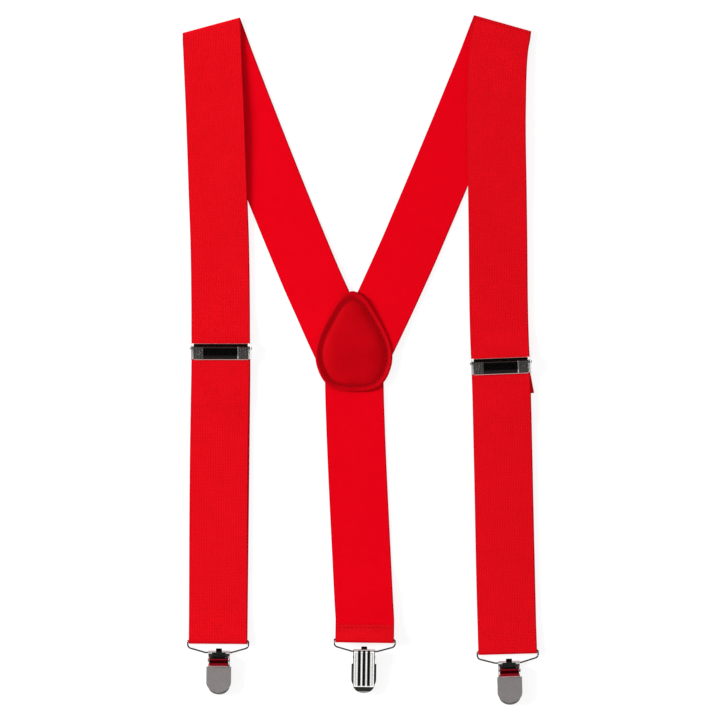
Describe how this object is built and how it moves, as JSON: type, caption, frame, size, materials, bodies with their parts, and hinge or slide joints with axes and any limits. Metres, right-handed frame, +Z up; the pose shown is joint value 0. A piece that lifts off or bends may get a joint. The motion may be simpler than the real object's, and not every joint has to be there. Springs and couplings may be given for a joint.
{
  "type": "suspenders",
  "caption": "Elastic Y-back suspenders: shoulder straps joined at a padded leather back patch, sliding toothed adjusters and metal lever clips on wire bails that grip a waistband.",
  "frame": {"origin": "under the middle of the bounding box, on the table the suspenders lie on", "axes": "+X to the right as laid out, +Y from the clips towards the shoulder folds, +Z up from the table"},
  "size_m": [0.2118, 0.4094, 0.0087],
  "materials": {
    "webbing": "finely woven red elastic, matt with a slight sheen",
    "leather": "soft red leather, low sheen, domed and stitched",
    "foam": "wadding, hidden",
    "thread": "red polyester thread",
    "chrome_plate": "bright nickel-chrome plate",
    "polished_steel": "polished dark chrome, knurled ends",
    "satin_nickel": "satin grey plated sheet",
    "plastic": "pale moulded plastic with cross teeth"
  },
  "bodies": {
    "back": {"back_strap_left": "webbing", "back_strap_right": "webbing", "centre_strap": "webbing", "centre_strap_hem": "webbing", "centre_hem_stitching": "thread", "patch_outer": "leather", "patch_inner": "leather", "patch_padding": "foam", "patch_stitching": "thread", "shoulder_fold_left": "webbing", "shoulder_fold_right": "webbing"},
    "front_left": {"front_strap_upper_left": "webbing"},
    "adjuster_left": {"adjuster_frame_left": "chrome_plate", "adjuster_pins_left": "chrome_plate", "sewn_tail_left": "webbing", "tail_stitching_left": "thread"},
    "cover_left": {"adjuster_cover_left": "polished_steel"},
    "end_loop_left": {"strap_end_loop_left": "webbing", "front_strap_lower_left": "webbing", "return_layer_left": "webbing"},
    "bail_body_left": {"bail_left": "chrome_plate"},
    "clip_body_left": {"clip_base_left": "chrome_plate", "clip_pin_left": "chrome_plate"},
    "jaw_body_left": {"clip_jaw_left": "satin_nickel", "clip_insert_left": "plastic"},
    "lever_body_left": {"clip_lever_left": "chrome_plate"},
    "front_right": {"front_strap_upper_right": "webbing"},
    "adjuster_right": {"adjuster_frame_right": "chrome_plate", "adjuster_pins_right": "chrome_plate", "sewn_tail_right": "webbing", "tail_stitching_right": "thread"},
    "cover_right": {"adjuster_cover_right": "polished_steel"},
    "end_loop_right": {"strap_end_loop_right": "webbing", "front_strap_lower_right": "webbing", "return_layer_right": "webbing"},
    "bail_body_right": {"bail_right": "chrome_plate"},
    "clip_body_right": {"clip_base_right": "chrome_plate", "clip_pin_right": "chrome_plate"},
    "jaw_body_right": {"clip_jaw_right": "satin_nickel", "clip_insert_right": "plastic"},
    "lever_body_right": {"clip_lever_right": "chrome_plate"},
    "bail_body_centre": {"bail_centre": "chrome_plate"},
    "clip_body_centre": {"clip_base_centre": "chrome_plate", "clip_pin_centre": "chrome_plate"},
    "jaw_body_centre": {"clip_jaw_centre": "satin_nickel", "clip_insert_centre": "plastic"},
    "lever_body_centre": {"clip_lever_centre": "chrome_plate"}
  },
  "joints": [
    {"name": "shoulder_left", "type": "hinge", "parent": "back", "child": "front_left", "pos_m": [-0.08831, 0.19731, 0.0014], "axis": [-0.965, -0.2622, 0], "range_deg": [0, 170], "deforming": ["shoulder_fold_left"]},
    {"name": "adjuster_slide_left", "type": "slide", "parent": "front_left", "child": "adjuster_left", "axis": [-0.0099, -1, 0], "range_m": [-0.07, 0.27], "deforming": ["front_strap_upper_left"]},
    {"name": "end_loop_slide_left", "type": "slide", "parent": "adjuster_left", "child": "end_loop_left", "axis": [-0.0099, -1, 0], "range_m": [-0.135, 0.035], "deforming": ["front_strap_lower_left", "return_layer_left"]},
    {"name": "adjuster_cover_left", "type": "hinge", "parent": "adjuster_left", "child": "cover_left", "pos_m": [-0.08281, 0.00681, 0.00565], "axis": [-1, 0, 0], "range_deg": [0, 80]},
    {"name": "bail_left", "type": "hinge", "parent": "end_loop_left", "child": "bail_body_left", "pos_m": [-0.08451, -0.16659, 0.002], "axis": [-1, 0.007, 0], "range_deg": [-80, 80]},
    {"name": "clip_swing_left", "type": "hinge", "parent": "bail_body_left", "child": "clip_body_left", "pos_m": [-0.08396, -0.17369, 0.002], "axis": [-1, 0.007, 0], "range_deg": [-35, 35]},
    {"name": "lever_left", "type": "hinge", "parent": "clip_body_left", "child": "lever_body_left", "pos_m": [-0.08399, -0.17803, 0.00594], "axis": [-1, 0.007, 0], "range_deg": [0, 80]},
    {"name": "jaw_left", "type": "hinge", "parent": "clip_body_left", "child": "jaw_body_left", "pos_m": [-0.08396, -0.17369, 0.002], "axis": [-1, 0.007, 0], "range_deg": [0, 8]},
    {"name": "shoulder_right", "type": "hinge", "parent": "back", "child": "front_right", "pos_m": [0.08399, 0.19851, 0.0014], "axis": [-0.9622, 0.2723, 0], "range_deg": [0, 170], "deforming": ["shoulder_fold_right"]},
    {"name": "adjuster_slide_right", "type": "slide", "parent": "front_right", "child": "adjuster_right", "axis": [0.0242, -0.9997, 0], "range_m": [-0.07, 0.27], "deforming": ["front_strap_upper_right"]},
    {"name": "end_loop_slide_right", "type": "slide", "parent": "adjuster_right", "child": "end_loop_right", "axis": [0.0242, -0.9997, 0], "range_m": [-0.135, 0.035], "deforming": ["front_strap_lower_right", "return_layer_right"]},
    {"name": "adjuster_cover_right", "type": "hinge", "parent": "adjuster_right", "child": "cover_right", "pos_m": [0.08312, -0.00169, 0.00565], "axis": [-0.9993, -0.0384, 0], "range_deg": [0, 80]},
    {"name": "bail_right", "type": "hinge", "parent": "end_loop_right", "child": "bail_body_right", "pos_m": [0.08729, -0.17269, 0.002], "axis": [-0.9996, -0.0279, 0], "range_deg": [-80, 80]},
    {"name": "clip_swing_right", "type": "hinge", "parent": "bail_body_right", "child": "clip_body_right", "pos_m": [0.08809, -0.17977, 0.002], "axis": [-0.9996, -0.0279, 0], "range_deg": [-35, 35]},
    {"name": "lever_right", "type": "hinge", "parent": "clip_body_right", "child": "lever_body_right", "pos_m": [0.08821, -0.18411, 0.00594], "axis": [-0.9996, -0.0279, 0], "range_deg": [0, 80]},
    {"name": "jaw_right", "type": "hinge", "parent": "clip_body_right", "child": "jaw_body_right", "pos_m": [0.08809, -0.17977, 0.002], "axis": [-0.9996, -0.0279, 0], "range_deg": [0, 8]},
    {"name": "bail_centre", "type": "hinge", "parent": "back", "child": "bail_body_centre", "pos_m": [0.00244, -0.16569, 0.0052], "axis": [-0.9999, 0.014, 0], "range_deg": [-85, 75]},
    {"name": "clip_swing_centre", "type": "hinge", "parent": "bail_body_centre", "child": "clip_body_centre", "pos_m": [0.00215, -0.1726, 0.0068], "axis": [-0.9999, 0.014, 0], "range_deg": [-35, 35]},
    {"name": "lever_centre", "type": "hinge", "parent": "clip_body_centre", "child": "lever_body_centre", "pos_m": [0.00209, -0.17644, 0.00236], "axis": [0.9999, -0.014, 0], "range_deg": [0, 80]},
    {"name": "jaw_centre", "type": "hinge", "parent": "clip_body_centre", "child": "jaw_body_centre", "pos_m": [0.00215, -0.1726, 0.0068], "axis": [0.9999, -0.014, 0], "range_deg": [0, 8]}
  ],
  "couplings": [
    {"joint": "end_loop_slide_left", "follows": "adjuster_slide_left", "ratio": -0.5},
    {"joint": "jaw_left", "follows": "lever_left", "ratio": 0.1},
    {"joint": "end_loop_slide_right", "follows": "adjuster_slide_right", "ratio": -0.5},
    {"joint": "jaw_right", "follows": "lever_right", "ratio": 0.1},
    {"joint": "jaw_centre", "follows": "lever_centre", "ratio": 0.1}
  ]
}
